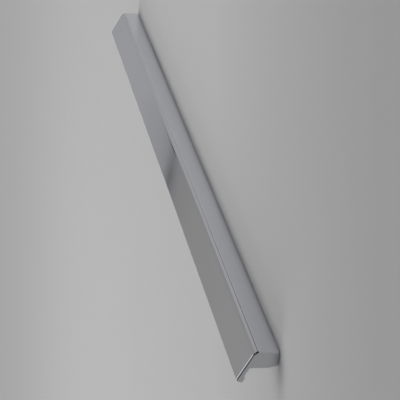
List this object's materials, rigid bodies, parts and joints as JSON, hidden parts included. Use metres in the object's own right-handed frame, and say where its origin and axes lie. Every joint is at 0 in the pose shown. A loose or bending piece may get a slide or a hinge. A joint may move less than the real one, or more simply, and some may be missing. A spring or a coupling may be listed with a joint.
{
  "type": "profile pull handle",
  "caption": "Long polished chrome bar pull of constant section: a solid leg off the mounting face, a leaning finger plate with a small lip, and tapped holes in the foot.",
  "frame": {"origin": "middle of the bar's length and of its foot, on the mounting face, at the mouth of the middle tapped hole", "axes": "+X along the bar, +Y across it from the leg's outer face towards the plate's free edge, +Z out of the mounting face"},
  "size_m": [0.6, 0.0208, 0.024],
  "materials": {
    "polished_chrome": "polished"
  },
  "bodies": {
    "root": {"pull_bar": "polished_chrome"}
  },
  "joints": []
}
